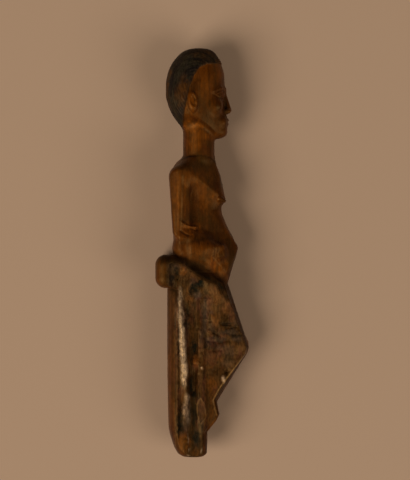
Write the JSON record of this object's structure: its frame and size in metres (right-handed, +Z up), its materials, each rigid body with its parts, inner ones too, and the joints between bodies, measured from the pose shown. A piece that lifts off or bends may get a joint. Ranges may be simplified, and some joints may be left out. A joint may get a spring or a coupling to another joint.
{
  "type": "carved wooden figure",
  "caption": "Small carved wooden figure of a standing woman with bent knees on the stub of a stick, near side of the hips and legs split away; lies on its side.",
  "frame": {"origin": "centre of the footprint, on the surface that the figure lies on", "axes": "+Y towards the top of the head, +X towards the front of the figure, +Z up out of its right side; it lies on its left shoulder, hip and knee"},
  "size_m": [0.0366, 0.16, 0.0236],
  "materials": {
    "dark_wood": "dark brown wood polished by handling, blackened hair, rough split surface with dark patina"
  },
  "bodies": {
    "root": {"carved_figure": "dark_wood"}
  },
  "joints": []
}
